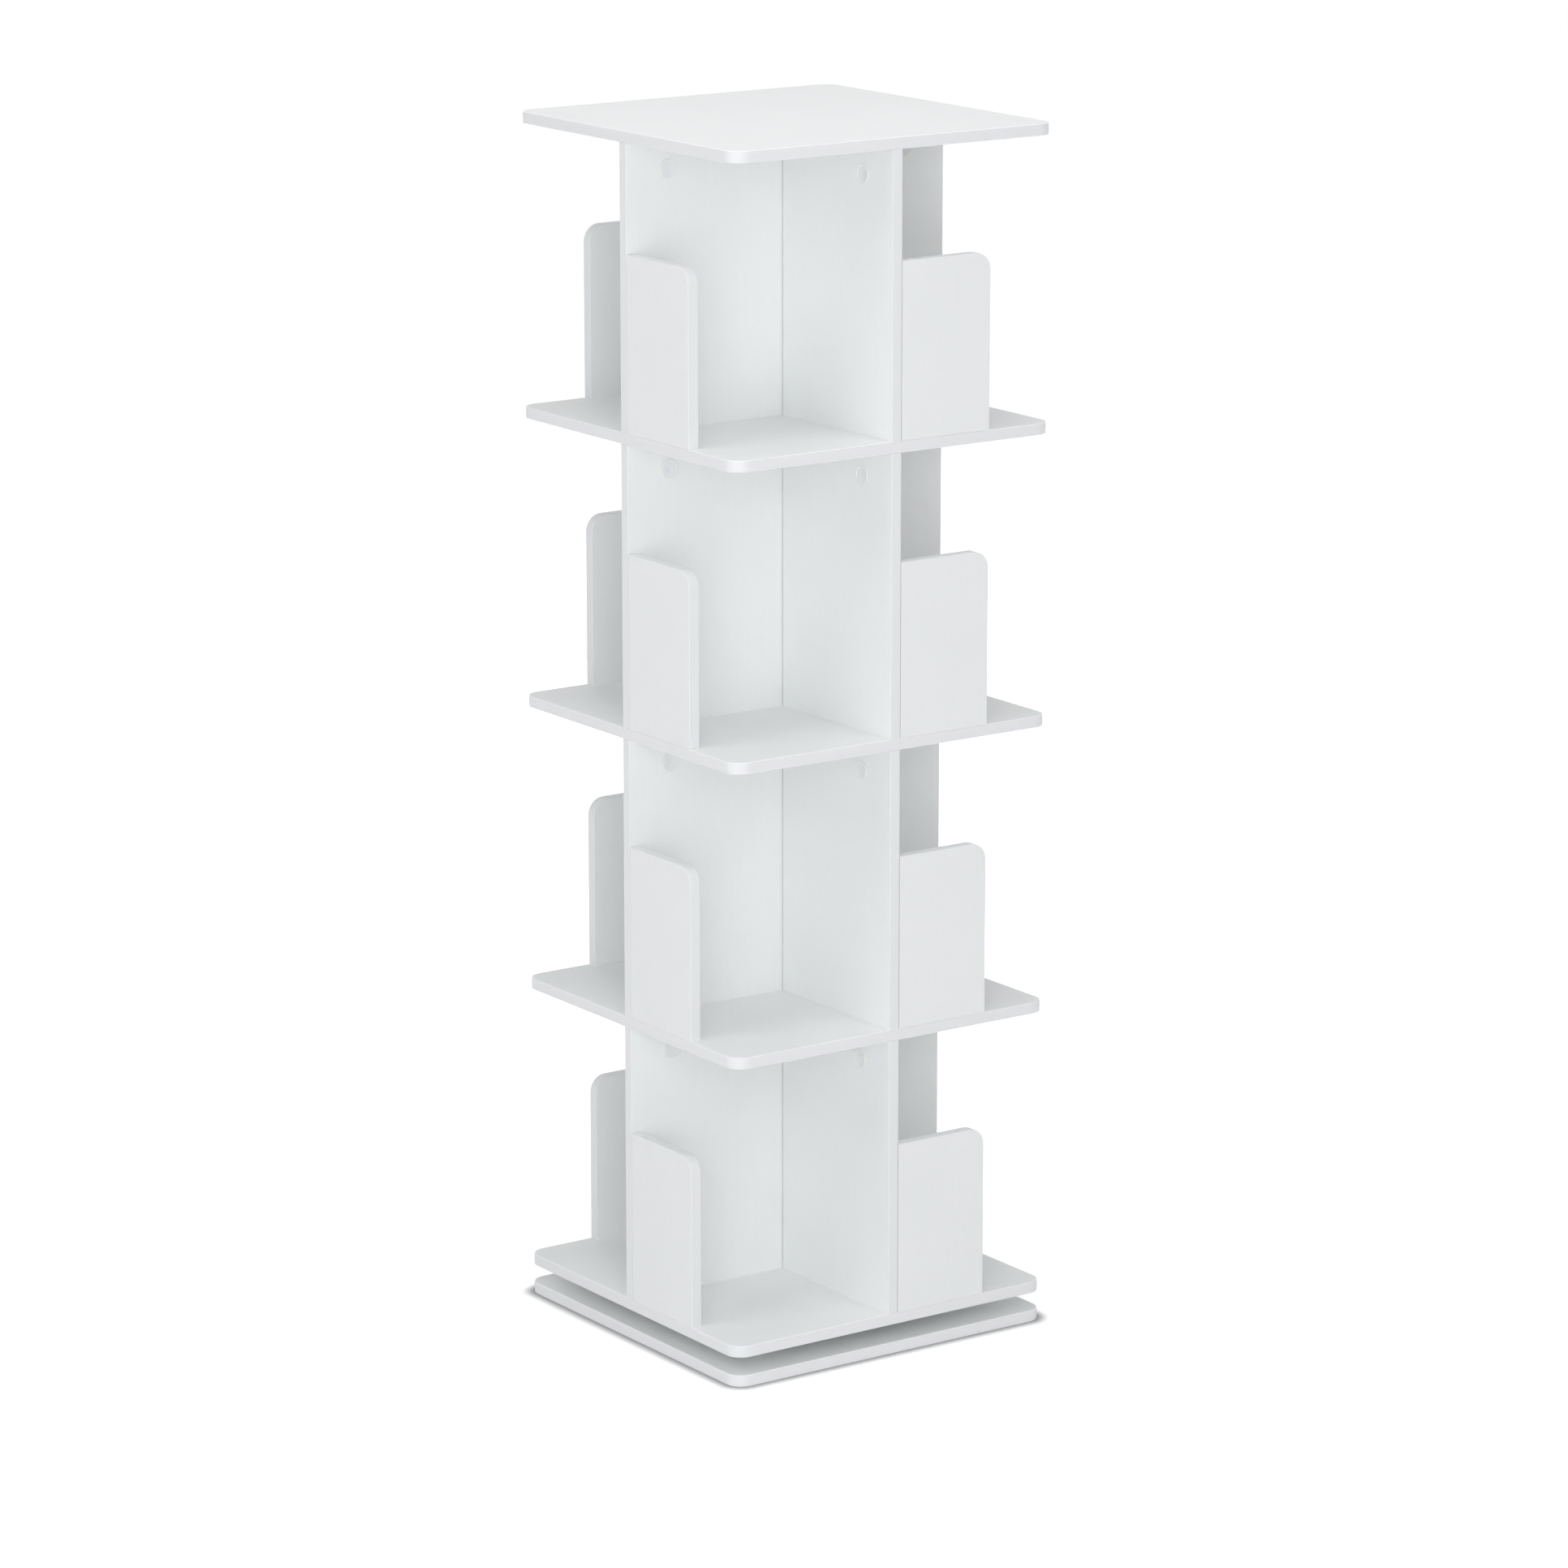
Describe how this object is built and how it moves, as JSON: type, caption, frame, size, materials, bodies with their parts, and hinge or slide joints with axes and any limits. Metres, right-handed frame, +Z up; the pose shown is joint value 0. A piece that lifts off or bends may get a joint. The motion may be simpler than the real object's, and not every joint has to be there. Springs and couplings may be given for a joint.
{
  "type": "revolving shelf",
  "caption": "Tall square white bookcase of laminated board with open tiers of compartments around a cross of dividers, turning on a ball-bearing base.",
  "frame": {"origin": "centre of the base's underside, on the floor", "axes": "+Z up along the turning axis, X and Y along the sides of the square plates"},
  "size_m": [0.39, 0.39, 1.255],
  "materials": {
    "white_laminate": "white melamine laminate with a fine vertical grain, satin",
    "white_edge_band": "smooth white plastic edge band, satin",
    "zinc_pressing": "zinc-plated pressed steel",
    "polished_ball": "polished bearing steel",
    "white_nylon": "natural nylon",
    "zinc_screw": "zinc-plated steel",
    "zinc_cam": "die-cast zinc",
    "cam_cap": "translucent off-white plastic, satin",
    "beech_dowel": "plain beech"
  },
  "bodies": {
    "base": {"base_plate": "white_laminate", "base_edge_band": "white_edge_band", "lower_bearing_plate": "zinc_pressing", "base_screws": "zinc_screw", "weld_nuts": "zinc_screw", "pivot_rivet": "zinc_pressing", "pivot_washer": "white_nylon"},
    "bearing": {"ball_cage": "white_nylon", "bearing_balls": "polished_ball"},
    "carousel": {"top_panel": "white_laminate", "shelf_1": "white_laminate", "shelf_2": "white_laminate", "shelf_3": "white_laminate", "shelf_4": "white_laminate", "wide_divider_1": "white_laminate", "wide_divider_2": "white_laminate", "wide_divider_3": "white_laminate", "wide_divider_4": "white_laminate", "back_divider_1": "white_laminate", "back_divider_2": "white_laminate", "back_divider_3": "white_laminate", "back_divider_4": "white_laminate", "front_divider_1": "white_laminate", "front_divider_2": "white_laminate", "front_divider_3": "white_laminate", "front_divider_4": "white_laminate", "right_stop_1": "white_laminate", "right_stop_2": "white_laminate", "right_stop_3": "white_laminate", "right_stop_4": "white_laminate", "back_stop_1": "white_laminate", "back_stop_2": "white_laminate", "back_stop_3": "white_laminate", "back_stop_4": "white_laminate", "left_stop_1": "white_laminate", "left_stop_2": "white_laminate", "left_stop_3": "white_laminate", "left_stop_4": "white_laminate", "front_stop_1": "white_laminate", "front_stop_2": "white_laminate", "front_stop_3": "white_laminate", "front_stop_4": "white_laminate", "shelf_edge_bands": "white_edge_band", "top_edge_band": "white_edge_band", "divider_edge_bands": "white_edge_band", "stop_edge_bands": "white_edge_band", "upper_bearing_plate": "zinc_pressing", "shelf_screws": "zinc_screw", "divider_screws": "zinc_screw", "stop_screws": "zinc_screw", "top_dowels": "beech_dowel", "stop_dowels": "beech_dowel", "cross_dowels": "beech_dowel", "cam_bolts": "zinc_screw", "cam_locks": "zinc_cam", "cam_caps": "cam_cap"}
  },
  "joints": [
    {"name": "shelf_spin", "type": "hinge", "parent": "base", "child": "carousel", "pos_m": [0, 0, 0.0215], "axis": [0, 0, 1], "continuous": true},
    {"name": "cage_spin", "type": "hinge", "parent": "base", "child": "bearing", "pos_m": [0, 0, 0.0215], "axis": [0, 0, 1], "continuous": true}
  ],
  "couplings": [
    {"joint": "cage_spin", "follows": "shelf_spin", "ratio": 0.5}
  ]
}
